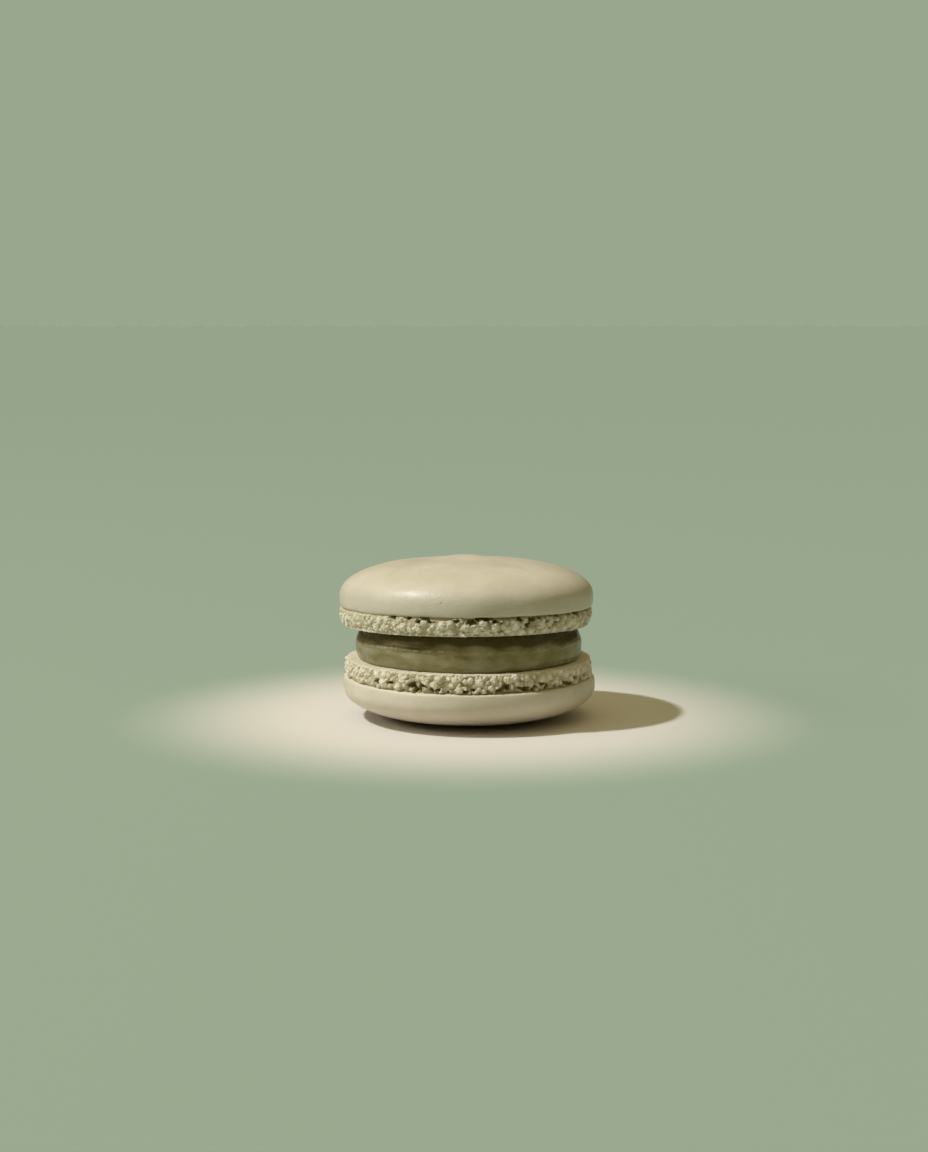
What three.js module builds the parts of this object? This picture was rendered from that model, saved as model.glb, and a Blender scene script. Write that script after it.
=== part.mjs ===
// A French macaron: two baked almond meringue shells with a thick disc of ganache between them.
// Millimetres, +Z up. The origin is on the surface it stands on, under the middle of its outline.
// Each shell is one solid: a smooth domed cap, and under its rim the foot, a band of burst bubbles.
// The lower shell lies cap down, on the small flat that its dome has settled into.

import * as THREE from "three";

// Driving dimensions.
const capDiameter = 44.8; // the widest part of the smooth caps
const fillingThickness = 5.8; // between the flat undersides of the two shells
const fillingDiameter = 40; // where its side bulges most
const upperTilt = THREE.MathUtils.degToRad(1.9); // the upper shell sits a little higher at the front
const upperShift = -0.5; // and a little to the left of the lower one
const fillingShift = -0.25; // and so is the filling
const contactGap = 0.1; // kept between pieces that touch

// What the two shells have of their own.
const upperShell = {
  seed: 11,
  domeHeight: 6.98, // from the widest line of the cap to its top
  rimHeight: 1.5, // from the crease over the foot to the widest line
  footHeight: 3.4,
  edgeRadius: 21.65, // of the fine-grained edge next to the flat underside
  radialPower: 2.4, // of the dome's outline, a superellipse: 2 is round, more is boxier
  heightPower: 2.4,
  nubHeight: 0.55, // the low peak that the piping tip left
  flatRadius: 0,
};
const lowerShell = {
  seed: 29,
  domeHeight: 5.88,
  rimHeight: 1.5,
  footHeight: 3.45,
  edgeRadius: 21.9,
  radialPower: 2.7,
  heightPower: 2.2,
  nubHeight: 0,
  flatRadius: 6.5, // the flat that it rests on
};

// The foot, the same in both.
const creaseInset = 0.3; // how far the cap's rim rounds in before it meets the foot
const footCore = capDiameter / 2 - 1.25; // radius of the foot behind its bubbles
const edgeHeight = 0.62; // of the fine-grained edge
const edgeRound = 0.2; // how far the flat underside stops short of that edge
const footRowSpan = [0.96, 0.06]; // of its highest and lowest points, as shares of its height
const bubbleRows = [
  { height: 0.14, pitch: 1.0, size: [0.55, 0.75], missing: 0 },
  { height: 0.38, pitch: 1.25, size: [0.7, 1.0], missing: 0.06 },
  { height: 0.62, pitch: 1.4, size: [0.7, 1.15], missing: 0.14 },
  { height: 0.86, pitch: 1.3, size: [0.5, 0.9], missing: 0.34 },
];
const bubbleReach = 0.4; // how much further a bubble stands out from the core than its own size
const bubbleStray = { along: 0.35, up: 0.22 }; // shares of a row's pitch, and millimetres

// The peak on a cap, and the side of the filling.
const nubRadius = 3.73; // where the peak has dropped to about a third of its height
const fillingWidest = 0.46; // where the side bulges most, as a share of its height
const fillingBulge = 0.95; // how far it stands out there past its edges
const fillingRounded = 0.1; // share of the height that is rounded off at each edge
const fillingRounding = 0.3; // how far that goes in

// How uneven the outlines are: waves round the rim, as {count, depth, phase}.
const shellWaves = [
  { count: 2, depth: 0.11, phase: 0.6 },
  { count: 3, depth: 0.08, phase: 2.1 },
  { count: 5, depth: 0.05, phase: 4.4 },
];
const fillingWaves = [
  { count: 2, depth: 0.12, phase: 1.9 },
  { count: 5, depth: 0.08, phase: 0.3 },
  { count: 9, depth: 0.05, phase: 3.2 },
];

// How fine the facets are.
const footSegments = 240;
const footRows = 9;
const rimSegments = 96;
const rimRows = 2;
const domeSegments = [96, 96, 96, 96, 72, 72, 48, 36, 18]; // of each ring, from the widest line inwards
const poleRadius = 4; // of the innermost ring, on a dome with no flat
const fillingSegments = 72;
const fillingRows = 10;

// Helpers.
const turn = 2 * Math.PI;
const capRadius = capDiameter / 2;

function seededRandom(seed) {
  let state = seed;
  return () => {
    state = (state * 1664525 + 1013904223) % 4294967296;
    return state / 4294967296;
  };
}

function waves(list, angle, shift = 0) {
  return list.reduce(
    (sum, wave) => sum + wave.depth * Math.cos(wave.count * angle + wave.phase + shift),
    0,
  );
}

// A ring of points: count points at the radius and height that the functions give for an angle.
function ring(count, radiusAt, heightAt) {
  return Array.from({ length: count }, (_, i) => {
    const angle = (i / count) * turn;
    const radius = radiusAt(angle);
    return [radius * Math.cos(angle), radius * Math.sin(angle), heightAt(angle)];
  });
}

// A closed skin over rings that run from the top of a piece to its underside. Neighbouring rings
// may have different numbers of points; a pole closes each end, level with the last ring.
function skin(rings, topHeight, bottomHeight) {
  const points = [];
  const faces = [];
  const starts = rings.map((ringPoints) => {
    const start = points.length;
    points.push(...ringPoints);
    return start;
  });
  const at = (row, i) => starts[row] + (i % rings[row].length);

  for (let row = 0; row + 1 < rings.length; row++) {
    const upper = rings[row].length;
    const lower = rings[row + 1].length;
    let i = 0;
    let j = 0;
    while (i < upper || j < lower) {
      if (j === lower || (i < upper && (i + 1) * lower <= (j + 1) * upper)) {
        faces.push(at(row, i), at(row + 1, j), at(row, i + 1));
        i++;
      } else {
        faces.push(at(row, i), at(row + 1, j), at(row + 1, j + 1));
        j++;
      }
    }
  }

  const last = rings.length - 1;
  const topPole = points.push([0, 0, topHeight]) - 1;
  const bottomPole = points.push([0, 0, bottomHeight]) - 1;
  rings[0].forEach((_, i) => faces.push(topPole, at(0, i), at(0, i + 1)));
  rings[last].forEach((_, i) => faces.push(bottomPole, at(last, i + 1), at(last, i)));

  const geometry = new THREE.BufferGeometry();
  geometry.setAttribute("position", new THREE.Float32BufferAttribute(points.flat(), 3));
  geometry.setIndex(faces);
  geometry.computeVertexNormals();
  return geometry;
}

// The foot's bubbles: rows of them round the foot, uneven in size and place, some of them missing.
function footBubbles(shell) {
  const random = seededRandom(shell.seed);
  const between = (low, high) => low + (high - low) * random();
  return bubbleRows.flatMap(({ height, pitch, size, missing }) => {
    const count = Math.round((turn * capRadius) / pitch);
    const row = Array.from({ length: count }, (_, i) => ({
      angle: ((i + between(-bubbleStray.along, bubbleStray.along)) / count) * turn,
      height: shell.footHeight * height + between(-bubbleStray.up, bubbleStray.up),
      size: between(...size),
      kept: random() > missing,
    }));
    return row.filter((bubble) => bubble.kept);
  });
}

// How far the foot stands out at a place: the furthest of the bubbles there, or the bare core.
function footRadius(shell, bubbles, angle, height) {
  let reach = 0;
  for (const bubble of bubbles) {
    const across = Math.atan2(Math.sin(angle - bubble.angle), Math.cos(angle - bubble.angle));
    const share = Math.hypot(across * capRadius, height - bubble.height) / bubble.size;
    if (share < 1) {
      reach = Math.max(reach, (bubbleReach + bubble.size) * Math.sqrt(1 - share ** 2));
    }
  }
  const radius = Math.min(footCore + reach, capRadius - 0.05);
  const edgeShare = THREE.MathUtils.smoothstep(edgeHeight - height, 0, edgeHeight);
  return THREE.MathUtils.lerp(radius, Math.max(radius - edgeRound, shell.edgeRadius), edgeShare);
}

// Height above a shell's flat underside, at a share of the dome's radius. It is level on the flat.
function domeTop(shell, share) {
  const reached = Math.max(share, shell.flatRadius / capRadius);
  const dome = shell.domeHeight * (1 - reached ** shell.radialPower) ** (1 / shell.heightPower);
  const nub = shell.nubHeight * Math.exp(-(((share * capRadius) / nubRadius) ** 2));
  return shell.footHeight + shell.rimHeight + dome + nub;
}

// One shell as it is baked: flat underside at height 0, foot above it, cap on top.
function shellGeometry(shell) {
  const { footHeight, rimHeight, radialPower } = shell;
  const widest = footHeight + rimHeight;
  const bubbles = footBubbles(shell);
  const outline = (angle) => waves(shellWaves, angle, shell.seed);

  // The dome's rings lie closest together at its widest line, and the innermost one edges the flat.
  const innermost = Math.max(shell.flatRadius, poleRadius) / capRadius;
  const steepest = Math.acos(innermost ** (radialPower / 2));
  const dome = domeSegments.map((count, i) => {
    const slope = steepest * (i / (domeSegments.length - 1)) ** 1.25;
    const share = Math.max(Math.cos(slope) ** (2 / radialPower), innermost);
    return ring(
      count,
      (angle) => share * (capRadius + outline(angle)),
      () => domeTop(shell, share),
    );
  });
  const rim = Array.from({ length: rimRows }, (_, i) => {
    const slope = ((i + 1) / rimRows) * (turn / 4);
    return ring(
      rimSegments,
      (angle) => capRadius + outline(angle) - creaseInset * (1 - Math.cos(slope)),
      () => widest - rimHeight * Math.sin(slope),
    );
  });
  const foot = Array.from({ length: footRows }, (_, i) => {
    const height = footHeight * THREE.MathUtils.lerp(...footRowSpan, i / (footRows - 1));
    return ring(
      footSegments,
      (angle) => footRadius(shell, bubbles, angle, height) + outline(angle),
      () => height,
    );
  });
  const underside = [
    ring(rimSegments, (angle) => shell.edgeRadius - edgeRound + outline(angle), () => 0),
    ring(18, () => capRadius / 2, () => 0),
  ];
  return skin([...dome.reverse(), ...rim, ...foot, ...underside], domeTop(shell, 0), 0);
}

// A disc that has been pressed until its side bulges. Its top follows the tilted upper shell.
function fillingGeometry() {
  const thickness = fillingThickness - 2 * contactGap;
  const rings = Array.from({ length: fillingRows + 1 }, (_, row) => {
    const share = 1 - row / fillingRows;
    const offWidest = Math.abs(share - fillingWidest) / (1 - fillingWidest);
    const nearEdge = Math.max(0, 1 - Math.min(share, 1 - share) / fillingRounded);
    const inset = fillingBulge * offWidest ** 2 + fillingRounding * nearEdge ** 2;
    const place = ring(
      fillingSegments,
      (angle) => fillingDiameter / 2 - inset + waves(fillingWaves, angle),
      () => 0,
    );
    return place.map(([x, y]) => [x, y, share * (thickness - y * Math.tan(upperTilt))]);
  });
  return skin(rings, thickness, 0);
}

// Assembly.
const shellColour = new THREE.Color().setRGB(0.78, 0.74, 0.63, THREE.SRGBColorSpace);
const fillingColour = new THREE.Color().setRGB(0.42, 0.4, 0.24, THREE.SRGBColorSpace);

const shellMaterial = () =>
  new THREE.MeshStandardMaterial({ color: shellColour, roughness: 0.62, metalness: 0 });
const fillingMaterial = () =>
  new THREE.MeshStandardMaterial({ color: fillingColour, roughness: 0.42, metalness: 0 });

function named(name, geometry, material) {
  const mesh = new THREE.Mesh(geometry, material);
  mesh.name = name;
  return mesh;
}

const macaron = new THREE.Group();

const lower = named("bottom_shell", shellGeometry(lowerShell), shellMaterial());
const ledgeHeight = domeTop(lowerShell, 0);
lower.rotation.x = Math.PI; // it lies cap down
lower.position.z = ledgeHeight;

const filling = named("filling", fillingGeometry(), fillingMaterial());
filling.position.set(fillingShift, 0, ledgeHeight + contactGap);

const upper = named("top_shell", shellGeometry(upperShell), shellMaterial());
upper.rotation.x = -upperTilt;
upper.position.set(upperShift, 0, ledgeHeight + fillingThickness);

macaron.add(lower, filling, upper);

// Moves the pieces together, so that the origin is under the middle of their common outline.
macaron.updateMatrixWorld(true);
const middle = new THREE.Box3().setFromObject(macaron, true).getCenter(new THREE.Vector3());
for (const piece of macaron.children) {
  piece.position.x -= middle.x;
  piece.position.y -= middle.y;
}

export default macaron;
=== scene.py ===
import math

import bmesh
import bpy
from mathutils import Matrix, Vector, noise


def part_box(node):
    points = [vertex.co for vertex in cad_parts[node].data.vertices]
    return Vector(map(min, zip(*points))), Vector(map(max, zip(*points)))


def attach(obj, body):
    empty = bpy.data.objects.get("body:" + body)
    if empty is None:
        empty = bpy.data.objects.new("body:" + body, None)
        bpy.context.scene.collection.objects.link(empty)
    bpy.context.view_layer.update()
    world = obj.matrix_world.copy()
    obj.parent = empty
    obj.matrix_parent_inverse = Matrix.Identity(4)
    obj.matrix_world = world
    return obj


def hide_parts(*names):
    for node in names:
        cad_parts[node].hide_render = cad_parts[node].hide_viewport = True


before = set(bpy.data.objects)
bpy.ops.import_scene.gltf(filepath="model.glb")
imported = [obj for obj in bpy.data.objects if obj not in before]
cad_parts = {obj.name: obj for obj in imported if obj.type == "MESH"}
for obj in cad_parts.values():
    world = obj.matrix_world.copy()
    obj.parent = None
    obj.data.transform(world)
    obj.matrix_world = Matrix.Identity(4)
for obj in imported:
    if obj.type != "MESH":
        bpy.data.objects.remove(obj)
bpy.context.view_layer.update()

mm = 0.001
turn = 2 * math.pi


# Small helpers.

def srgb(red, green, blue):
    # a colour picked on a 0-255 screen scale, as the linear colour that shaders take
    def linear(value):
        share = value / 255
        return share / 12.92 if share <= 0.04045 else ((share + 0.055) / 1.055) ** 2.4
    return (linear(red), linear(green), linear(blue), 1.0)


def smoothStep(low, high, value):
    share = min(max((value - low) / (high - low), 0.0), 1.0)
    return share * share * (3 - 2 * share)


def outlineWave(waves, angle, shift=0.0):
    # how far an outline stands out at an angle, from waves given as count, depth and phase
    return sum(depth * math.cos(count * angle + phase + shift) for count, depth, phase in waves)


def swelling(swells, place, seedPlace=Vector()):
    # how far a surface swells at a place, from swells given as size and height
    return sum(noise.noise(place / size + seedPlace) * height for size, height in swells)


def addNode(tree, kind, inputs=None, **settings):
    # inputs takes numbers and colours, or the sockets that feed them
    node = tree.nodes.new(kind)
    for name, value in settings.items():
        setattr(node, name, value)
    for socket, value in (inputs or {}).items():
        if isinstance(value, bpy.types.NodeSocket):
            tree.links.new(value, node.inputs[socket])
        else:
            node.inputs[socket].default_value = value
    return node


def newObject(name, data):
    made = bpy.data.objects.new(name, data)
    bpy.context.scene.collection.objects.link(made)
    return made


def bakeModifiers(piece):
    # swaps the mesh for the evaluated one and takes the modifiers off
    graph = bpy.context.evaluated_depsgraph_get()
    old = piece.data
    piece.data = bpy.data.meshes.new_from_object(piece.evaluated_get(graph))
    piece.modifiers.clear()
    bpy.data.meshes.remove(old)
    piece.data.name = piece.name


def latheMesh(name, profile, pointAt):
    # a closed turned form. The profile runs from the pole underneath to the pole on top, as radius,
    # height and the number of points in that ring, which is 1 for a pole. pointAt(radius, height,
    # angle) gives each point, with whatever is uneven about it.
    points = []
    faces = []
    starts = []
    for radius, height, count in profile:
        starts.append(len(points))
        points += [pointAt(radius, height, turn * i / count) for i in range(count)]
    for row in range(len(profile) - 1):
        below, above = profile[row][2], profile[row + 1][2]
        lower = [starts[row] + i % below for i in range(below + 1)]
        upper = [starts[row + 1] + i % above for i in range(above + 1)]
        if below == above:
            faces += [(lower[i], lower[i + 1], upper[i + 1], upper[i]) for i in range(below)]
            continue
        i = below if below == 1 else 0
        j = above if above == 1 else 0
        while i < below or j < above:
            if j == above or (i < below and (i + 1) * above <= (j + 1) * below):
                faces.append((lower[i], lower[i + 1], upper[j]))
                i += 1
            else:
                faces.append((lower[i], upper[j + 1], upper[j]))
                j += 1
    mesh = bpy.data.meshes.new(name)
    mesh.from_pydata(points, [], faces)
    for face in mesh.polygons:
        face.use_smooth = True
    return mesh


# Materials. Their sizes are millimetres.

def newMaterial(name):
    # an empty material: its tree, its Principled shader, and the coordinates in millimetres
    material = bpy.data.materials.new(name)
    material.use_nodes = True
    tree = material.node_tree
    tree.nodes.clear()
    output = addNode(tree, "ShaderNodeOutputMaterial")
    shader = addNode(tree, "ShaderNodeBsdfPrincipled")
    tree.links.new(shader.outputs["BSDF"], output.inputs["Surface"])
    place = addNode(tree, "ShaderNodeTexCoord").outputs["Object"]
    place = addNode(tree, "ShaderNodeMapping", {"Vector": place, "Scale": (1 / mm,) * 3})
    return material, tree, shader, place.outputs["Vector"]


def cloudNoise(tree, place, size, detail=2.0, roughness=0.5):
    # soft noise whose blotches are about size millimetres across, from 0 to 1
    node = addNode(tree, "ShaderNodeTexNoise", {
        "Vector": place, "Scale": 1 / size, "Detail": detail, "Roughness": roughness})
    return node.outputs["Factor" if "Factor" in node.outputs else "Fac"]


def spread(tree, value, low, high, newLow, newHigh, smooth=False):
    node = addNode(tree, "ShaderNodeMapRange", {
        "Value": value, "From Min": low, "From Max": high, "To Min": newLow, "To Max": newHigh},
        interpolation_type="SMOOTHSTEP" if smooth else "LINEAR")
    return node.outputs["Result"]


def calculate(tree, operation, first, second):
    node = addNode(tree, "ShaderNodeMath", {0: first, 1: second}, operation=operation)
    return node.outputs["Value"]


def mixColours(tree, share, first, second):
    node = addNode(tree, "ShaderNodeMix", {0: share, 6: first, 7: second}, data_type="RGBA")
    return node.outputs[2]


def addBump(tree, height, depth, normal=None):
    # depth is in millimetres, for height running from 0 to 1
    inputs = {"Height": height, "Distance": depth * mm, "Strength": 1.0}
    if normal:
        inputs["Normal"] = normal
    return addNode(tree, "ShaderNodeBump", inputs).outputs["Normal"]


# Cloud noise seldom comes near its 0 and 1, so it is spread out from a stretch in its middle.
wideStretch = (0.3, 0.7)
narrowStretch = (0.35, 0.65)

meringueLook = {
    "ior": 1.45,
    # the cap
    "pale": srgb(219, 209, 189),
    "deep": srgb(207, 197, 174),
    "blotchSize": 7.0,                  # of the parts that are paler or deeper
    "speckleSize": 0.5,
    "speckleStretch": (0.55, 0.75),     # of the noise that makes them; the higher, the fewer
    "speckleShare": 0.25,               # how far they go towards the deep colour
    "poreShadeTone": srgb(150, 138, 102),
    "poreShadeShare": 0.35,                  # how far a pore goes towards its painted shade tone
    "poreSpacing": 5.5,
    "poreRadius": 0.17,
    "poreWall": (0.5, 1.4),             # from its bottom to its edge, as shares of its radius
    "poreDepth": 0.08,
    "capRoughness": (0.34, 0.46),
    "glossSize": 1.6,                   # of the parts that are glossier or duller
    "grainSize": 0.4,
    "grainDepth": 0.045,
    "dimpleSize": 1.3,
    "dimpleDepth": 0.035,
    # the crumb of the foot
    "crumbPale": srgb(248, 243, 229),
    "crumbDeep": srgb(238, 231, 213),
    "crumbBlotchSize": 1.1,
    "speckSize": 0.3,                   # of its darker specks
    "speckStretch": (0.4, 0.7),
    "speckShare": 0.5,
    "flatTone": srgb(222, 213, 187),    # the flat side next to the foot
    "flatShare": 0.8,
    # the tone of its darker specks, and of the painted shade in its grooves
    "speckAndShadeTone": srgb(208, 198, 168),
    "grooveShadeDepths": (-0.1, 0.2),        # how deep behind the foot's face its painted shade starts, and is full
    "pitShadeTone": srgb(156, 142, 100),     # the painted shade deep between the bubbles
    "pitShadeDepths": (0.3, 0.9),
    "crumbRoughness": (0.72, 0.86),
    "dustSize": 0.16,                   # of the finest crumbs
    "dustRoughness": 0.6,
    "dustDepth": 0.035,
    "lumpSize": 0.42,
    "lumpSoftness": 0.4,
    "lumpDepth": 0.07,
}


def capMaterial(look):
    # the smooth crust that the batter dries to, with an eggshell gloss and a few pores, with painted
    # shade in them
    material, tree, shader, place = newMaterial("baked_meringue_cap")
    blotches = cloudNoise(tree, place, look["blotchSize"], detail=3.0)
    blotches = spread(tree, blotches, *narrowStretch, 0, 1)
    colour = mixColours(tree, blotches, look["pale"], look["deep"])
    speckles = cloudNoise(tree, place, look["speckleSize"])
    speckles = spread(tree, speckles, *look["speckleStretch"], 0, look["speckleShare"])
    colour = mixColours(tree, speckles, colour, look["deep"])

    cells = addNode(tree, "ShaderNodeTexVoronoi", {
        "Vector": place, "Scale": 1 / look["poreSpacing"], "Randomness": 1.0})
    distance = calculate(tree, "MULTIPLY", cells.outputs["Distance"], look["poreSpacing"])
    bottom, edge = [look["poreRadius"] * share for share in look["poreWall"]]
    pores = spread(tree, distance, bottom, edge, 1, 0, True)
    # painted shade in the pores
    poreShadeShare = calculate(tree, "MULTIPLY", pores, look["poreShadeShare"])
    colour = mixColours(tree, poreShadeShare, colour, look["poreShadeTone"])
    tree.links.new(colour, shader.inputs["Base Color"])

    gloss = cloudNoise(tree, place, look["glossSize"], detail=3.0)
    rough = spread(tree, gloss, *wideStretch, *look["capRoughness"])
    tree.links.new(rough, shader.inputs["Roughness"])
    normal = addBump(tree, cloudNoise(tree, place, look["grainSize"]), look["grainDepth"])
    normal = addBump(tree, cloudNoise(tree, place, look["dimpleSize"]), look["dimpleDepth"], normal)
    normal = addBump(tree, pores, -look["poreDepth"], normal)
    tree.links.new(normal, shader.inputs["Normal"])
    shader.inputs["IOR"].default_value = look["ior"]
    return material


def crumbMaterial(look):
    # the open crumb of the feet: dull, with painted shade where it lies deep
    material, tree, shader, place = newMaterial("baked_meringue_crumb")
    hollow = addNode(tree, "ShaderNodeAttribute", attribute_name="hollow").outputs["Fac"]
    hollow = calculate(tree, "DIVIDE", hollow, mm)
    onFoot = addNode(tree, "ShaderNodeAttribute", attribute_name="foot").outputs["Fac"]
    blotches = cloudNoise(tree, place, look["crumbBlotchSize"], detail=3.0)
    colour = mixColours(tree, spread(tree, blotches, *narrowStretch, 0, 1),
                        look["crumbPale"], look["crumbDeep"])
    specks = cloudNoise(tree, place, look["speckSize"])
    layers = (
        ("speckAndShadeTone", spread(tree, specks, *look["speckStretch"], 0, look["speckShare"])),
        ("flatTone", spread(tree, onFoot, 0, 1, look["flatShare"], 0)),
        # painted shade in the grooves and pits, the darker the deeper they lie
        ("speckAndShadeTone", spread(tree, hollow, *look["grooveShadeDepths"], 0, 1)),
        ("pitShadeTone", spread(tree, hollow, *look["pitShadeDepths"], 0, 1)),
    )
    for tone, share in layers:
        colour = mixColours(tree, share, colour, look[tone])
    tree.links.new(colour, shader.inputs["Base Color"])

    rough = spread(tree, blotches, *wideStretch, *look["crumbRoughness"])
    tree.links.new(rough, shader.inputs["Roughness"])
    dust = cloudNoise(tree, place, look["dustSize"], 3.0, look["dustRoughness"])
    normal = addBump(tree, dust, look["dustDepth"])
    lumps = addNode(tree, "ShaderNodeTexVoronoi", {
        "Vector": place, "Scale": 1 / look["lumpSize"], "Smoothness": look["lumpSoftness"]},
        feature="SMOOTH_F1").outputs["Distance"]
    normal = addBump(tree, lumps, -look["lumpDepth"], normal)
    tree.links.new(normal, shader.inputs["Normal"])
    shader.inputs["IOR"].default_value = look["ior"]
    return material


# The bands on the filling's side are shares of its height.
ganacheLook = {
    "light": srgb(158, 150, 120),
    "dark": srgb(126, 117, 72),
    "paintedShade": srgb(54, 44, 4),             # painted shade above its fold, under the upper shell, and where it meets the lower shell
    "highShadeBand": (0.56, 0.74),            # where the painted shade band above the fold starts, and is full
    "highShadeShare": 0.8,                   # how far it goes towards the painted shade colour
    "lowShadeBand": (0.0, 0.1),               # where the painted shade at the lower shell is full, and ends
    "lowShadeShare": 0.6,
    "wanderSize": 7.0,
    "wander": 0.07,                     # how far the high band wanders up and down
    "streakWander": 0.03,               # and how far both do along the streaks
    "sheen": srgb(240, 220, 166),
    "specular": 0.38,
    "ior": 1.46,
    "roughness": (0.22, 0.36),
    "glossSize": 1.2,                   # of the parts that are glossier or duller
    "streakSize": 3.4,
    "streakStretch": 2.4,               # how many times longer than high they are
    "streakDepth": 0.06,
    "grainSize": 0.35,
    "grainDepth": 0.012,
    "beadSize": 0.45,                   # of the fine beads along its fold
    "beadDepth": 0.25,
    "beadsStart": (0.5, 0.57),
    "beadsEnd": (0.6, 0.66),
}


def ganacheMaterial(look):
    # set ganache: satin, smooth, with faint streaks where it was pressed out
    material, tree, shader, place = newMaterial("olive_ganache")
    streaks = addNode(tree, "ShaderNodeMapping", {
        "Vector": place, "Scale": (1.0, 1.0, look["streakStretch"])})
    streaks = cloudNoise(tree, streaks.outputs["Vector"], look["streakSize"])
    colour = mixColours(tree, spread(tree, streaks, *wideStretch, 0, 1), look["light"], look["dark"])

    # painted shade: darker above its fold, under the upper shell, and where it meets the lower shell
    rise = addNode(tree, "ShaderNodeAttribute", attribute_name="rise").outputs["Fac"]
    shift = spread(tree, streaks, *wideStretch, -look["streakWander"], look["streakWander"])
    rise = calculate(tree, "ADD", rise, shift)
    wander = cloudNoise(tree, place, look["wanderSize"], detail=1.0)
    shift = spread(tree, wander, *narrowStretch, -look["wander"], look["wander"])
    high = calculate(tree, "ADD", rise, shift)
    paintedShade = calculate(tree, "ADD", spread(tree, high, *look["highShadeBand"], 0, look["highShadeShare"], True),
                    spread(tree, rise, *look["lowShadeBand"], look["lowShadeShare"], 0))
    colour = mixColours(tree, paintedShade, colour, look["paintedShade"])
    tree.links.new(colour, shader.inputs["Base Color"])

    gloss = cloudNoise(tree, place, look["glossSize"], detail=3.0)
    rough = spread(tree, gloss, *wideStretch, *look["roughness"])
    tree.links.new(rough, shader.inputs["Roughness"])
    normal = addBump(tree, cloudNoise(tree, place, look["grainSize"]), look["grainDepth"])
    normal = addBump(tree, streaks, look["streakDepth"], normal)
    nearFold = calculate(tree, "MULTIPLY", spread(tree, rise, *look["beadsStart"], 0, 1),
                         spread(tree, rise, *look["beadsEnd"], 1, 0))
    beads = cloudNoise(tree, place, look["beadSize"], detail=1.0)
    beads = calculate(tree, "MULTIPLY", beads, nearFold)
    normal = addBump(tree, beads, look["beadDepth"], normal)
    tree.links.new(normal, shader.inputs["Normal"])
    shader.inputs["IOR"].default_value = look["ior"]
    shader.inputs["Specular IOR Level"].default_value = look["specular"]
    shader.inputs["Specular Tint"].default_value = look["sheen"]
    return material


capFinish = capMaterial(meringueLook)
crumbFinish = crumbMaterial(meringueLook)
ganacheFinish = ganacheMaterial(ganacheLook)
print("materials made")


# The shells. Sizes are millimetres in a shell's own frame: flat side down, at height 0. The crease
# is where the cap meets the foot.

shellForm = {
    "capRadius": 22.4,
    "creaseInset": 0.3,       # how far the cap's rim rounds in before it meets the foot
    "creaseIn": 0.07,         # how much further in the bottom of the crease lies
    "creaseDown": 0.05,       # and how far down
    "wallDepth": 0.68,        # how far the foot's wall lies back, behind the clumps
    "wallLeast": 0.4,         # the share of that at the flat side
    "wallFade": 0.4,          # how far above the fine grain it has grown to all of it
    "neckDepth": 0.95,        # how far it lies back just under the cap, where it burst most
    "neckBand": (0.6, 0.2),   # where that starts and is full, down from the crease
    "burstEnds": (0.32, 0.12),  # where the bubbles fade and the wall ends, down from the crease
    "burstStarts": 0.3,       # and the share of the edge's rounding over which they start
    "wallFrom": 20.0,         # past this radius all that is under the crease follows the wall
    "shiftFade": 0.3,         # the height under the crease over which the foot's shift fades
    "deepest": 1.6,           # no bubble sits deeper than this
    "nubNarrow": 6,           # how many times narrower than the cap the nub on top is
    "waves": ((2, 0.11, 0.6), (3, 0.08, 2.1), (5, 0.05, 4.4)),  # count, depth, phase
    "footSegments": 1440,
    "footRows": 46,
    "edgeRings": 5,           # of the rounding at the foot's edge
    "ledgeRings": 9,          # of the rough flat side, next to the foot
    "ledgeWidth": 2.6,
    "flatRings": ((0.4, 40), (0.8, 80), (0.98, 360)),  # share of the way to the ledge, and points
    "capSegments": 216,
    "rimRings": 9,
    "domeRings": 30,
    "domeSpacing": 1.1,       # over 1, they are closer together near the rim
}

# What is uneven about them.
shellSwells = {
    "cap": ((7, 0.09), (2.6, 0.025)),  # size and height of the swells on the cap
    "fullHeight": 2.5,        # they are full this far above the crease
    "outShare": 0.5,          # the share of them that goes outwards
    "poleRadius": 3,          # it is less and less inside this radius
    "upPower": 4,             # the higher, the nearer to the rim they still go upwards
    "rimWander": 0.16,        # how far the cap's lower edge wanders up and down
    "rimTurns": 4,            # and how quickly, round the shell
    "rimBelow": 0.6,          # how far under the crease it starts to
    "crumbs": ((0.42, 0.08, 0), (1.3, 0.12, 7)),  # on the flat side: size, height, noise slice
    "crumbsFrom": (18.6, 19.6),  # the radii where they start, and are full
    "sinkSize": 2.6,          # of the places where the flat side sinks away
    "sinkSlice": 3,
    "sinkShift": 0.3,         # over 0, more than half of it sinks
    "sinkDepth": 0.12,
    "sinkFrom": (20.0, 22.0),  # the radii where they start, and are full
    "seedStep": 3.7,          # how far apart the noises of two seeds are taken
}

upperShell = {
    "seed": 11,
    "domeHeight": 6.95,
    "rimHeight": 1.5,         # from the crease to where the cap is widest
    "footHeight": 3.4,
    "radialPower": 2.4,       # how square the cap's outline is, sideways
    "heightPower": 2.4,       # and upwards
    "nubHeight": 0.55,
    "flatRadius": 0.0,        # of a flat on its top
    "burstMost": math.radians(-56),  # where its foot burst most; opposite it burst as much
    "calm": 0.4,              # how much less it burst halfway between
    "fineHeight": 0.25,       # of the fine grain next to the flat side
    "edgeRadius": 21.6,       # of the foot at its flat side
    "footRadius": 22.35,      # and higher up
    "taper": 2.0,             # the height over which it grows to that
    "edgeRound": 0.18,        # the radius of its edge
    "flatRough": 0.25,        # how rough its flat side is
    "footShift": -0.2,        # how far the foot sits to the left under the cap
}

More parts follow.
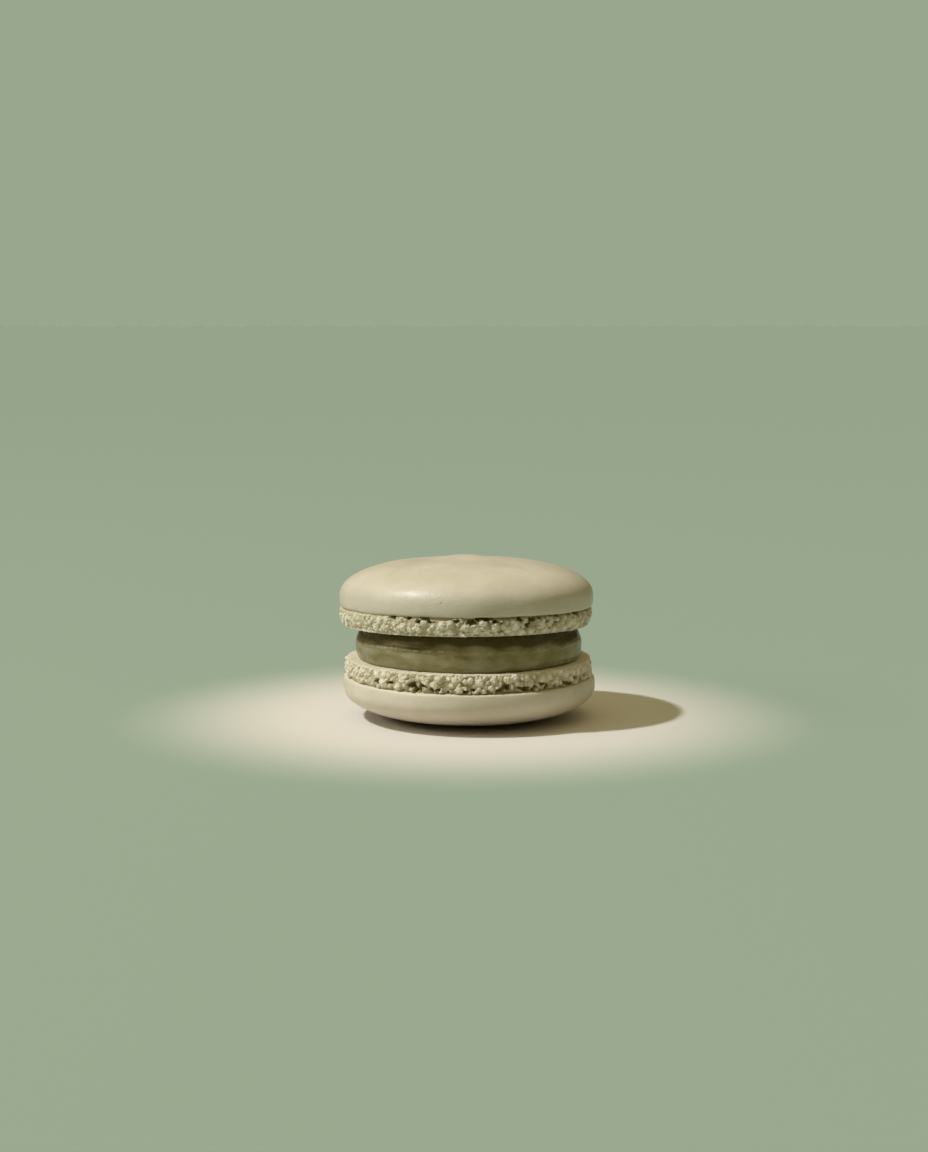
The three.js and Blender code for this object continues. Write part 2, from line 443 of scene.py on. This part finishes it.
lowerShell = {
    "seed": 29,
    "domeHeight": 5.88,
    "rimHeight": 1.5,
    "footHeight": 3.45,
    "radialPower": 2.7,
    "heightPower": 2.2,
    "nubHeight": 0.0,
    "flatRadius": 6.5,
    "burstMost": math.radians(85),
    "calm": 0.36,
    "fineHeight": 0.55,
    "edgeRadius": 21.7,
    "footRadius": 21.95,
    "taper": 1.2,
    "edgeRound": 0.2,
    "flatRough": 0.8,
    "footShift": -0.1,
}

# The foot is covered with balls twice: first clumps, then bubbles all over them. Low is measured up
# from the flat side and High down from the crease. The face of each clump lies between Shallow and
# Deep under the foot's face, and that of each bubble between those two under what it sits on, so a
# minus stands proud. Missing is the share that is left out at the crease, and Rounds is how many
# times the ball's faces are subdivided.
clumpKinds = {
    "Clump": {"Spacing": 1.35, "Smallest": 0.7, "Largest": 1.15, "Low": -0.1, "High": 0.8,
              "Shallow": -0.05, "Deep": 0.12, "Missing": 0.4, "Rounds": 4},
    "Knob": {"Spacing": 0.8, "Smallest": 0.35, "Largest": 0.6, "Low": -0.1, "High": 0.4,
             "Shallow": 0.02, "Deep": 0.24, "Missing": 0.5, "Rounds": 3},
}
bubbleKinds = {
    "Bubble": {"Spacing": 0.42, "Smallest": 0.19, "Largest": 0.3, "Low": -0.1, "High": 0.12,
               "Shallow": -0.2, "Deep": -0.08, "Missing": 0.3, "Rounds": 2},
    "Grain": {"Spacing": 0.27, "Smallest": 0.13, "Largest": 0.18, "Low": -0.1, "High": 0.05,
              "Shallow": -0.13, "Deep": -0.05, "Missing": 0.0, "Rounds": 2},
}

# The rest of the foot's sizes.
footSizes = {
    "Pit Spacing": 1.25,      # of the hollows that broke through between the clumps
    "Pit Radius": 0.56,
    "Pit Depth": 1.1,
    "Pit Low": 1.5,           # below the crease
    "Pit High": 0.3,
    "Pit Groove": 0.1,        # how deep a groove they start from
    "Pit Wall": 0.48,         # how far the wall there lies back, at least
    "Crumb Size": 0.3,
    "Crumb Depth": 0.03,
}

# And the rules that its balls, hollows and crumbs are made by.
footRules = {
    "crowding": 6.0,          # points tried in each square of the spacing, before most go
    "patches": 0.45,          # to a millimetre, where more or fewer balls are missing
    "patchStretch": (0.4, 0.6),
    "patchShares": (0.35, 1.5),  # what they multiply the missing share by
    "rayStart": 3.0,          # how far outside the wall the rays start; more than any ball reaches
    "pitFlatness": 1.6,       # how many times wider than high the hollows are
    "pitRagged": ((0.4, 0.7), (1.8, 0.5)),  # how fine, to a millimetre, and how much
    "pitWall": (0.75, 1.15),  # from its bottom to its edge, as shares of its radius
    "crumbSoftness": 0.3,
    "crumbTop": 0.3,          # a crumb's shape: this, less the square of the distance from it
    "crumbGain": 2.5,
}


def domeTop(shell, share):
    # height of the cap above the flat side, at a share of its radius
    reached = max(share, shell["flatRadius"] / shellForm["capRadius"])
    dome = shell["domeHeight"] * (1 - reached ** shell["radialPower"]) ** (1 / shell["heightPower"])
    nub = shell["nubHeight"] * math.exp(-(share * shellForm["nubNarrow"]) ** 2)
    return shell["footHeight"] + shell["rimHeight"] + dome + nub


def footFace(shell, height):
    # radius that the foot's bubbles reach at a height above the flat side
    widen = smoothStep(0, shell["taper"], height)
    return shell["edgeRadius"] + (shell["footRadius"] - shell["edgeRadius"]) * widen


def footRecess(shell, height, angle=None):
    # how far the wall behind the clumps lies under that. It burst open more in some places round
    # the shell than in others.
    burst = 1.0
    if angle is not None:
        burst -= shell["calm"] / 2 * (1 - math.cos(2 * (angle - shell["burstMost"])))
    least = shellForm["wallLeast"]
    grown = smoothStep(0, shell["fineHeight"] + shellForm["wallFade"], height)
    wall = shellForm["wallDepth"] * (least + (1 - least) * grown)
    neck = smoothStep(*[shell["footHeight"] - down for down in shellForm["neckBand"]], height)
    return burst * (wall + (shellForm["neckDepth"] - wall) * neck)


def shellProfile(shell):
    form = shellForm
    foot = shell["footHeight"]
    widest = foot + shell["rimHeight"]
    edge = shell["edgeRound"]
    start = footFace(shell, 0) - footRecess(shell, 0) - edge
    points = [(0.0, 0.0, 1)]
    inner = start - form["ledgeWidth"]
    points += [(inner * share, 0.0, count) for share, count in form["flatRings"]]
    for ring in range(form["ledgeRings"]):
        radius = inner + form["ledgeWidth"] * ring / form["ledgeRings"]
        points.append((radius, 0.0, form["footSegments"]))
    for i in range(form["edgeRings"]):
        slope = turn / 4 * i / form["edgeRings"]
        height = edge * (1 - math.cos(slope))
        radius = footFace(shell, height) - footRecess(shell, height) - edge * (1 - math.sin(slope))
        points.append((radius, height, form["footSegments"]))
    for row in range(form["footRows"] + 1):
        height = edge + (foot - form["burstEnds"][1] - edge) * row / form["footRows"]
        radius = footFace(shell, height) - footRecess(shell, height)
        points.append((radius, height, form["footSegments"]))
    crease = form["capRadius"] - form["creaseInset"]
    points.append((crease - form["creaseIn"], foot - form["creaseDown"], form["capSegments"]))
    for i in range(form["rimRings"], -1, -1):
        slope = turn / 4 * i / form["rimRings"]
        points.append((form["capRadius"] - form["creaseInset"] * (1 - math.cos(slope)),
                       widest - shell["rimHeight"] * math.sin(slope), form["capSegments"]))
    for i in range(1, form["domeRings"]):
        slope = turn / 4 * (i / form["domeRings"]) ** form["domeSpacing"]
        share = math.cos(slope) ** (2 / shell["radialPower"])
        # the rings near the pole have fewer points
        count = form["capSegments"] // (1 if share > 0.5 else 2 if share > 0.2 else 4)
        points.append((form["capRadius"] * share, domeTop(shell, share), count))
    points.append((0.0, domeTop(shell, 0), 1))
    return points


def ledgeRise(radius, x, y, seedPlace):
    # crumbs on the flat side, which sink away towards its edge in places
    swells = shellSwells
    crumbs = sum(noise.noise(Vector((x, y, part)) / size) * height
                 for size, height, part in swells["crumbs"])
    sunk = noise.noise(Vector((x, y, swells["sinkSlice"])) / swells["sinkSize"] + seedPlace)
    sunk = (sunk + swells["sinkShift"]) * smoothStep(*swells["sinkFrom"], radius)
    return (crumbs + max(sunk, 0.0) * swells["sinkDepth"]) * smoothStep(*swells["crumbsFrom"], radius)


def plainShell(name, shell):
    # the shell before its foot has burst into bubbles
    form = shellForm
    swells = shellSwells
    foot = shell["footHeight"]
    edge = shell["edgeRound"]
    seedPlace = Vector((shell["seed"] * swells["seedStep"], 0, 0))

    def pointAt(radius, height, angle):
        if radius > form["wallFrom"] and height < foot - form["creaseDown"]:
            radius += footRecess(shell, height) - footRecess(shell, height, angle)
        share = radius / form["capRadius"]
        wave = outlineWave(form["waves"], angle, shell["seed"]) * share
        shift = shell["footShift"] * (1 - smoothStep(foot - form["shiftFade"], foot, height))
        x = (radius + wave) * math.cos(angle) + shift
        y = (radius + wave) * math.sin(angle)
        # the cap swells and sinks a little, and its lower edge wanders up and down
        onCap = smoothStep(foot, foot + swells["fullHeight"], height)
        swell = swelling(swells["cap"], Vector((x, y, height)), seedPlace) * onCap
        onRim = smoothStep(foot - swells["rimBelow"], foot, height)
        onRim *= 1 - smoothStep(foot, foot + shell["rimHeight"], height)
        around = Vector((math.cos(angle), math.sin(angle), 0))
        lift = noise.noise(around * swells["rimTurns"] + seedPlace) * swells["rimWander"]
        out = 1 + swell * swells["outShare"] / max(radius, swells["poleRadius"])
        height += swell * (1 - share ** swells["upPower"]) + lift * onRim
        if radius > swells["crumbsFrom"][0] and height < edge:
            height += ledgeRise(radius, x, y, seedPlace) * shell["flatRough"]
        return Vector((x * out, y * out, height)) * mm

    profile = shellProfile(shell)
    mesh = latheMesh(name, profile, pointAt)
    # each point carries whether it is on the foot, and how deep it lies behind the foot's face
    fade, end = [foot - down for down in form["burstEnds"]]
    shares = []
    depths = []
    for radius, height, count in profile:
        onFoot = 0.0
        if count == form["footSegments"]:
            onFoot = smoothStep(0, edge * form["burstStarts"], height)
            onFoot *= 1 - smoothStep(fade, end, height)
        shares += [onFoot] * count
        depths += [footRecess(shell, height, turn * i / count) * onFoot * mm for i in range(count)]
    mesh.attributes.new("foot", "FLOAT", "POINT").data.foreach_set("value", shares)
    mesh.attributes.new("recess", "FLOAT", "POINT").data.foreach_set("value", depths)
    return newObject(name, mesh)


def newTree(name, inputs):
    # inputs maps each named input to its socket type
    tree = bpy.data.node_groups.new(name, "GeometryNodeTree")
    for label, kind in {"Geometry": "Geometry", **inputs}.items():
        tree.interface.new_socket(label, in_out="INPUT", socket_type="NodeSocket" + kind)
    tree.interface.new_socket("Geometry", in_out="OUTPUT", socket_type="NodeSocketGeometry")
    given = addNode(tree, "NodeGroupInput").outputs
    return tree, given


def readValue(tree, label):
    return addNode(tree, "GeometryNodeInputNamedAttribute", {"Name": label}).outputs["Attribute"]


def scaled(tree, vector, scale):
    node = addNode(tree, "ShaderNodeVectorMath", {0: vector, "Scale": scale}, operation="SCALE")
    return node.outputs["Vector"]


def combined(tree, operation, first, second):
    node = addNode(tree, "ShaderNodeVectorMath", {0: first, 1: second}, operation=operation)
    return node.outputs["Vector"]


def surfaceNoise(tree, fineness):
    # soft noise over the mesh, with about fineness blotches to a millimetre
    return addNode(tree, "ShaderNodeTexNoise", {"Scale": fineness / mm, "Detail": 1.0}).outputs[0]


def scatterDensity(tree, spacing):
    return calculate(tree, "DIVIDE", footRules["crowding"], calculate(tree, "POWER", spacing, 2.0))


def inputKind(label):
    return "Int" if label.endswith("Rounds") else "Float"


def ballLayerTree():
    # one kind of ball, scattered over the foot
    inputs = {label: inputKind(label) for label in clumpKinds["Clump"]}
    tree, given = newTree("ball_layer", {**inputs, "Seed": "Int"})
    place = addNode(tree, "GeometryNodeInputPosition").outputs["Position"]
    height = addNode(tree, "ShaderNodeSeparateXYZ", {"Vector": place}).outputs["Z"]

    def randomBetween(low, high, number):
        seed = calculate(tree, "ADD", given["Seed"], number)
        return addNode(tree, "FunctionNodeRandomValue", {2: low, 3: high, "Seed": seed}).outputs[1]

    def without(points, selection):
        node = addNode(tree, "GeometryNodeDeleteGeometry", {
            "Geometry": points, "Selection": selection}, domain="POINT")
        return node.outputs["Geometry"]

    onFoot = calculate(tree, "GREATER_THAN", readValue(tree, "foot"), 0.5)
    notDeep = calculate(tree, "LESS_THAN", readValue(tree, "hollow"), shellForm["deepest"] * mm)
    scatter = addNode(tree, "GeometryNodeDistributePointsOnFaces", {
        "Mesh": given["Geometry"], "Distance Min": given["Spacing"],
        "Density Max": scatterDensity(tree, given["Spacing"]), "Density Factor": 1.0,
        "Seed": given["Seed"], "Selection": calculate(tree, "MULTIPLY", onFoot, notDeep)},
        distribute_method="POISSON")
    points = without(scatter.outputs["Points"], calculate(tree, "LESS_THAN", height, given["Low"]))
    points = without(points, calculate(tree, "GREATER_THAN", height, given["High"]))
    # the missing ones: none at the low edge and most at the high one, and patchy
    patch = surfaceNoise(tree, footRules["patches"])
    patch = spread(tree, patch, *footRules["patchStretch"], *footRules["patchShares"])
    rise = spread(tree, height, given["Low"], given["High"], 0.0, given["Missing"])
    share = calculate(tree, "MULTIPLY", rise, patch)
    points = without(points, calculate(tree, "LESS_THAN", randomBetween(0.0, 1.0, 1), share))
    size = randomBetween(given["Smallest"], given["Largest"], 2)
    sunk = calculate(tree, "ADD", size, randomBetween(given["Shallow"], given["Deep"], 3))
    proud = calculate(tree, "SUBTRACT", readValue(tree, "recess"), sunk)
    points = addNode(tree, "GeometryNodeSetPosition", {
        "Geometry": points, "Offset": scaled(tree, scatter.outputs["Normal"], proud)})
    ball = addNode(tree, "GeometryNodeMeshIcoSphere", {
        "Radius": 1.0, "Subdivisions": given["Rounds"]})
    balls = addNode(tree, "GeometryNodeInstanceOnPoints", {
        "Points": points.outputs["Geometry"], "Instance": ball.outputs["Mesh"], "Scale": size})
    real = addNode(tree, "GeometryNodeRealizeInstances", {"Geometry": balls.outputs["Instances"]})
    output = addNode(tree, "NodeGroupOutput")
    tree.links.new(real.outputs["Geometry"], output.inputs["Geometry"])
    return tree


def burstFootTree(layerTree):
    # pushes the foot's wall out on to the balls, as a skin that lies over them
    kinds = {**clumpKinds, **bubbleKinds}
    inputs = {kind + " " + label: inputKind(label) for kind in kinds for label in kinds[kind]}
    inputs.update(dict.fromkeys(footSizes, "Float"))
    inputs.update({"Foot Height": "Float", "Seed": "Int"})
    inputs.update({"Cap Finish": "Material", "Crumb Finish": "Material"})
    tree, given = newTree("burst_foot", inputs)
    place = addNode(tree, "GeometryNodeInputPosition").outputs["Position"]
    height = addNode(tree, "ShaderNodeSeparateXYZ", {"Vector": place}).outputs["Z"]
    level = combined(tree, "MULTIPLY", place, (1, 1, 0))
    outward = addNode(tree, "ShaderNodeVectorMath", {0: level}, operation="NORMALIZE")
    outward = outward.outputs["Vector"]

    def store(geometry, label, value):
        return addNode(tree, "GeometryNodeStoreNamedAttribute", {
            "Geometry": geometry, "Name": label, "Value": value}, data_type="FLOAT",
            domain="POINT").outputs["Geometry"]

    def pushOut(geometry, reach):
        # moves the foot's points outwards by reach, and takes that off how deep they lie
        eased = addNode(tree, "GeometryNodeBlurAttribute", {
            "Value": calculate(tree, "MULTIPLY", reach, readValue(tree, "foot")), "Iterations": 1},
            data_type="FLOAT").outputs["Value"]
        geometry = store(geometry, "reach", eased)
        reach = readValue(tree, "reach")
        deep = calculate(tree, "SUBTRACT", readValue(tree, "hollow"), reach)
        geometry = store(geometry, "hollow", deep)
        return addNode(tree, "GeometryNodeSetPosition", {
            "Geometry": geometry, "Offset": scaled(tree, outward, reach)}).outputs["Geometry"]

    def coverWithBalls(geometry, layers, seedShift):
        # each layer's seed is 10 on from the one before
        balls = addNode(tree, "GeometryNodeJoinGeometry")
        for kind in layers:
            seedShift += 10
            layer = addNode(tree, "GeometryNodeGroup", node_tree=layerTree)
            tree.links.new(geometry, layer.inputs["Geometry"])
            for label in layers[kind]:
                tree.links.new(given[kind + " " + label], layer.inputs[label])
            tree.links.new(calculate(tree, "ADD", given["Seed"], seedShift), layer.inputs["Seed"])
            tree.links.new(layer.outputs["Geometry"], balls.inputs["Geometry"])
        # a ray from well outside finds the outermost ball in front of each point
        away = footRules["rayStart"] * mm
        ray = addNode(tree, "GeometryNodeRaycast", {
            "Target Geometry": balls.outputs["Geometry"],
            "Source Position": combined(tree, "ADD", place, scaled(tree, outward, away)),
            "Ray Direction": scaled(tree, outward, -1.0), "Ray Length": away})
        reach = calculate(tree, "SUBTRACT", away, ray.outputs["Hit Distance"])
        return pushOut(geometry, calculate(tree, "MULTIPLY", reach, ray.outputs["Is Hit"]))

    skin = store(given["Geometry"], "hollow", readValue(tree, "recess"))
    skin = coverWithBalls(skin, clumpKinds, 0)

    # hollows in the grooves below the crease
    highest = calculate(tree, "SUBTRACT", given["Foot Height"], given["Pit High"])
    lowest = calculate(tree, "SUBTRACT", given["Foot Height"], given["Pit Low"])
    inBand = calculate(tree, "MULTIPLY", calculate(tree, "GREATER_THAN", height, lowest),
                       calculate(tree, "LESS_THAN", height, highest))
    inGroove = calculate(tree, "GREATER_THAN", readValue(tree, "hollow"), given["Pit Groove"])
    whereBurst = calculate(tree, "GREATER_THAN", readValue(tree, "recess"), given["Pit Wall"])
    inBand = calculate(tree, "MULTIPLY", inBand, calculate(tree, "MULTIPLY", inGroove, whereBurst))
    pits = addNode(tree, "GeometryNodeDistributePointsOnFaces", {
        "Mesh": skin, "Selection": inBand, "Distance Min": given["Pit Spacing"],
        "Density Factor": 1.0, "Density Max": scatterDensity(tree, given["Pit Spacing"]),
        "Seed": calculate(tree, "ADD", given["Seed"], 50.0)}, distribute_method="POISSON")
    # they are wider than they are high, of uneven sizes, and ragged
    tall = combined(tree, "MULTIPLY", place, (1.0, 1.0, footRules["pitFlatness"]))
    stretched = addNode(tree, "GeometryNodeSetPosition", {
        "Geometry": pits.outputs["Points"], "Position": tall}).outputs["Geometry"]
    nearest = addNode(tree, "GeometryNodeProximity", {0: stretched, "Source Position": tall},
                      target_element="POINTS")
    distance = calculate(tree, "DIVIDE", nearest.outputs["Distance"], given["Pit Radius"])
    for fineness, amount in footRules["pitRagged"]:
        ragged = spread(tree, surfaceNoise(tree, fineness), *narrowStretch, -amount, amount)
        distance = calculate(tree, "ADD", distance, ragged)
    dip = spread(tree, distance, *footRules["pitWall"], 1.0, 0.0, True)
    dip = calculate(tree, "MULTIPLY", dip, given["Pit Depth"])
    skin = pushOut(skin, calculate(tree, "MULTIPLY", dip, -1.0))

    skin = store(skin, "recess", 0.0)
    skin = coverWithBalls(skin, bubbleKinds, 20)

    # crumbs all over it
    cells = addNode(tree, "ShaderNodeTexVoronoi", {
        "Vector": place, "Scale": calculate(tree, "DIVIDE", 1.0, given["Crumb Size"]),
        "Smoothness": footRules["crumbSoftness"]}, feature="SMOOTH_F1").outputs["Distance"]
    rise = calculate(tree, "SUBTRACT", footRules["crumbTop"], calculate(tree, "POWER", cells, 2.0))
    for factor in (footRules["crumbGain"], given["Crumb Depth"], readValue(tree, "foot")):
        rise = calculate(tree, "MULTIPLY", rise, factor)
    normal = addNode(tree, "GeometryNodeInputNormal").outputs["Normal"]
    skin = addNode(tree, "GeometryNodeSetPosition", {
        "Geometry": skin, "Offset": scaled(tree, normal, rise)})
    real = addNode(tree, "GeometryNodeRealizeInstances", {"Geometry": skin.outputs["Geometry"]})
    finished = real.outputs["Geometry"]
    low = calculate(tree, "LESS_THAN", height, given["Foot Height"])
    for label, selection in (("Cap Finish", True), ("Crumb Finish", low)):
        finished = addNode(tree, "GeometryNodeSetMaterial", {
            "Geometry": finished, "Selection": selection, "Material": given[label]}).outputs["Geometry"]
    output = addNode(tree, "NodeGroupOutput")
    tree.links.new(finished, output.inputs["Geometry"])
    return tree


def burstFoot(tree, piece, shell):
    burst = piece.modifiers.new("foot", "NODES")
    burst.node_group = tree
    values = {label: size * mm for label, size in footSizes.items()}
    for kind, sizes in {**clumpKinds, **bubbleKinds}.items():
        for label, size in sizes.items():
            values[kind + " " + label] = size if label in ("Missing", "Rounds") else size * mm
        values[kind + " High"] = (shell["footHeight"] - sizes["High"]) * mm
    values["Foot Height"] = shell["footHeight"] * mm
    values["Seed"] = shell["seed"]
    values["Cap Finish"] = capFinish
    values["Crumb Finish"] = crumbFinish
    for item in tree.interface.items_tree:
        if item.in_out == "INPUT" and item.name in values:
            burst[item.identifier] = values[item.name]
    bakeModifiers(piece)


def settle(piece, node, turned):
    # turns the piece over or tilts it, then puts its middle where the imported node's is
    piece.data.transform(turned)
    low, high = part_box(node)
    corners = [vert.co for vert in piece.data.vertices]
    middle = [(min(c[i] for c in corners) + max(c[i] for c in corners)) / 2 for i in range(2)]
    lift = low.z - min(c.z for c in corners)
    piece.data.transform(Matrix.Translation((
        (low.x + high.x) / 2 - middle[0], (low.y + high.y) / 2 - middle[1], lift)))
    piece.data.update()


upperTilt = math.radians(1.9)
footTree = burstFootTree(ballLayerTree())
shells = (
    ("meringue_top", "top_shell", upperShell, Matrix.Rotation(-upperTilt, 4, "X")),
    ("meringue_bottom", "bottom_shell", lowerShell, Matrix.Rotation(math.pi, 4, "X")),
)
for pieceName, nodeName, shellSizes, turned in shells:
    shell = plainShell(pieceName, shellSizes)
    burstFoot(footTree, shell, shellSizes)
    settle(shell, nodeName, turned)
    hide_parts(nodeName)
    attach(shell, "root")
    shell.data.calc_loop_triangles()
    print(pieceName, "made, triangles", len(shell.data.loop_triangles))


# The filling.

fillingForm = {
    "radius": 20.0,
    "shift": 0.15,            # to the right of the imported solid's middle
    "thickness": 5.8,
    "widest": 0.4,            # where its side bulges most, as a share of its height
    "bulge": 1.3,             # how far that stands out past its upper edge
    "rounded": 0.1,           # the share of its height that is rounded off at each edge
    "rounding": 0.35,
    "waves": ((1, 0.4, math.pi / 2), (2, 0.12, 1.9), (5, 0.08, 0.3), (9, 0.05, 3.2)),
    "wavesFull": 15,          # the radius from which its outline's waves are full
    "dents": ((4.5, 0.14), (1.7, 0.05)),  # size and depth
    "dentFlatness": 1.8,      # how many times longer than high they are
    "flatDents": 0.4,         # the share of them that is left on its flat sides
    "sideFade": 0.12,         # the share of its height over which they are fewer at each edge
    "ridge": 0.3,             # of the fold that squeezing it left in its side
    "ridgeMost": math.radians(-110),  # where it is sharpest
    "ridgeSpread": math.radians(38),
    "ridgeRise": 0.58,        # as a share of its height
    "ridgeHalf": 0.06,        # half its thickness, likewise
    "ridgeWander": 0.05,      # how far it wanders up and down, likewise
    "wanderTurns": 3,         # and how quickly, round the filling
    "ridgeSizes": (0.75, 0.5),  # its mean share of "ridge", and how much that varies
    "ridgeTurns": 7,          # and how quickly, round the filling
    "ridgeBeads": (0.4, 0.5),  # size and strength of the beads that break it up
    "segments": 960,
    "rows": 72,
    "flatRing": 0.5,          # the share of its radius at which its flat sides have a ring
    "ringShare": 4,           # which has this many times fewer points
    "pressed": 0.12,          # how far it reaches into the shells that it holds on to
}


def fillingMesh(form):
    low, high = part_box("filling")
    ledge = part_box("bottom_shell")[1].z / mm
    bottom = ledge - form["pressed"]
    middle = (low + high) / 2 / mm
    thickness = form["thickness"] + 2 * form["pressed"]
    count = form["segments"]
    ring = form["radius"] * form["flatRing"]
    profile = [(0.0, 0.0, 1), (ring, 0.0, count // form["ringShare"])]
    for row in range(form["rows"] + 1):
        share = row / form["rows"]
        offWidest = (share - form["widest"]) / (1 - form["widest"])
        nearEdge = max(0.0, 1 - min(share, 1 - share) / form["rounded"])
        inset = form["bulge"] * offWidest ** 2 + form["rounding"] * nearEdge ** 2
        profile.append((form["radius"] - inset, share, count))
    profile += [(ring, 1.0, count // form["ringShare"]), (0.0, 1.0, 1)]

    def foldAt(place, share, angle):
        # how far the fold stands out: it wanders, comes and goes, and is broken up into beads
        around = Vector((math.cos(angle), math.sin(angle), 0))
        wander = noise.noise(around * form["wanderTurns"]) * form["ridgeWander"]
        off = (share - form["ridgeRise"] - wander) / form["ridgeHalf"]
        aside = math.remainder(angle - form["ridgeMost"], turn) / form["ridgeSpread"]
        mean, change = form["ridgeSizes"]
        beadSize, beads = form["ridgeBeads"]
        size = form["ridge"] * math.exp(-aside * aside)
        size *= mean + noise.noise(around * form["ridgeTurns"]) * change
        size *= 1 + noise.noise(place / beadSize) * beads
        return max(size, 0) * math.exp(-off * off)

    def pointAt(radius, share, angle):
        wave = outlineWave(form["waves"], angle)
        x = radius * math.cos(angle)
        y = radius * math.sin(angle)
        z = bottom + share * (thickness - y * math.tan(upperTilt))
        fade = form["sideFade"]
        onSide = smoothStep(0.0, fade, share) * (1 - smoothStep(1 - fade, 1.0, share))
        place = Vector((x, y, z * form["dentFlatness"]))
        dent = swelling(form["dents"], place) + foldAt(place, share, angle) * onSide
        least = form["flatDents"]
        out = radius + wave * min(1.0, radius / form["wavesFull"]) + dent * (least + (1 - least) * onSide)
        out /= max(radius, 0.01)   # a pole has no radius to divide by
        return Vector((middle.x + form["shift"] + x * out, middle.y + y * out, z)) * mm

    mesh = latheMesh("ganache_filling", profile, pointAt)
    shares = [share for radius, share, count in profile for i in range(count)]
    mesh.attributes.new("rise", "FLOAT", "POINT").data.foreach_set("value", shares)
    mesh.materials.append(ganacheFinish)
    return mesh


filling = newObject("ganache_filling", fillingMesh(fillingForm))
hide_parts("filling")
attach(filling, "root")
print("filling made")


# Floor, light and camera.

studio = {
    "floorNear": srgb(223, 217, 208),
    "floorFar": srgb(153, 169, 152),
    "floorFade": (26.0, 66.0),  # millimetres from the middle
    "floorRadius": 30.0,      # metres
    "floorSides": 64,
    "backColour": srgb(153, 167, 142),
    "keyTravel": (0.576, 0.198, -0.793),  # the direction that the sun's light goes in
    "keyAngle": 3.0,          # degrees; how soft the shadows' edges are
    "keyStrength": 2.48,
    "keyColour": srgb(242, 247, 255),
    "fillStrength": 0.68,     # from straight above; hardly any of it comes from low down
    "fillLow": 0.05,          # the share that does
    "fillFrom": 0.25,         # the sine of the elevation that it grows from
    "fillColour": srgb(255, 241, 186),
    "boxColour": srgb(255, 247, 232),
    "boxStrength": 1.25,      # watts of a wide soft box, low on the left, for the caps' gloss
    "boxSize": (0.6, 0.2),    # metres
    "boxPlace": (-0.78, -0.24, 0.43),  # metres; it faces the frame's origin
}


def makeFloor(look):
    mesh = bpy.data.meshes.new("floor")
    shape = bmesh.new()
    bmesh.ops.create_circle(shape, cap_ends=True, segments=look["floorSides"],
                            radius=look["floorRadius"])
    shape.to_mesh(mesh)
    shape.free()
    floor = newObject("floor", mesh)
    material, tree, shader, place = newMaterial("plain_floor")
    away = addNode(tree, "ShaderNodeVectorMath", {0: place}, operation="LENGTH").outputs["Value"]
    away = spread(tree, away, *look["floorFade"], 0, 1, True)
    colour = mixColours(tree, away, look["floorNear"], look["floorFar"])
    tree.links.new(colour, shader.inputs["Base Color"])
    shader.inputs["Roughness"].default_value = 1.0
    shader.inputs["Specular IOR Level"].default_value = 0.0
    mesh.materials.append(material)


def makeRoom(look):
    # the room fills softly, mostly from above; behind the floor it shows as plain as the floor
    world = bpy.data.worlds.new("soft_room")
    world.use_nodes = True
    tree = world.node_tree
    tree.nodes.clear()
    aim = addNode(tree, "ShaderNodeTexCoord").outputs["Generated"]
    up = addNode(tree, "ShaderNodeSeparateXYZ", {"Vector": aim}).outputs["Z"]
    strength = look["fillStrength"]
    strength = spread(tree, up, look["fillFrom"], 1.0, strength * look["fillLow"], strength)
    fill = addNode(tree, "ShaderNodeBackground", {
        "Color": look["fillColour"], "Strength": strength})
    back = addNode(tree, "ShaderNodeBackground", {"Color": look["backColour"], "Strength": 1.0})
    seen = addNode(tree, "ShaderNodeLightPath").outputs["Is Camera Ray"]
    either = addNode(tree, "ShaderNodeMixShader", {
        0: seen, 1: fill.outputs["Background"], 2: back.outputs["Background"]})
    output = addNode(tree, "ShaderNodeOutputWorld")
    tree.links.new(either.outputs["Shader"], output.inputs["Surface"])
    bpy.context.scene.world = world


def addLight(name, kind, strength, colour, travel):
    # travel is the direction that its light goes in
    light = bpy.data.lights.new(name, kind)
    light.energy = strength
    light.color = colour[:3]
    lamp = newObject(name, light)
    lamp.rotation_euler = Vector(travel).to_track_quat("-Z", "Y").to_euler()
    return lamp


def makeLights(look):
    key = addLight("key", "SUN", look["keyStrength"], look["keyColour"], look["keyTravel"])
    key.data.angle = math.radians(look["keyAngle"])
    place = Vector(look["boxPlace"])
    box = addLight("soft_box", "AREA", look["boxStrength"], look["boxColour"], -place)
    box.data.shape = "RECTANGLE"
    box.data.size, box.data.size_y = look["boxSize"]
    box.location = place


camera = {
    "across": -0.9 * mm,      # from the lower shell's axis
    "away": 380 * mm,
    "height": 69.9 * mm,
    "pitchDown": 6.73,        # degrees
    "focalPixels": 2159.3,
    "pictureHeight": 1152,    # of the picture that those pixels are counted on
    "sensorSize": 36,         # millimetres, along the picture's longer side
}


def makeCamera(place):
    data = bpy.data.cameras.new("camera")
    data.sensor_width = place["sensorSize"]
    data.lens = place["focalPixels"] * place["sensorSize"] / place["pictureHeight"]
    view = newObject("camera", data)
    low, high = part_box("bottom_shell")
    view.location = ((low.x + high.x) / 2 + place["across"], -place["away"], place["height"])
    view.rotation_euler = (math.radians(90 - place["pitchDown"]), 0, 0)
    bpy.context.scene.camera = view


makeFloor(studio)
makeRoom(studio)
makeLights(studio)
makeCamera(camera)
bpy.context.scene.view_settings.view_transform = "Standard"
print("floor, lights and camera made")
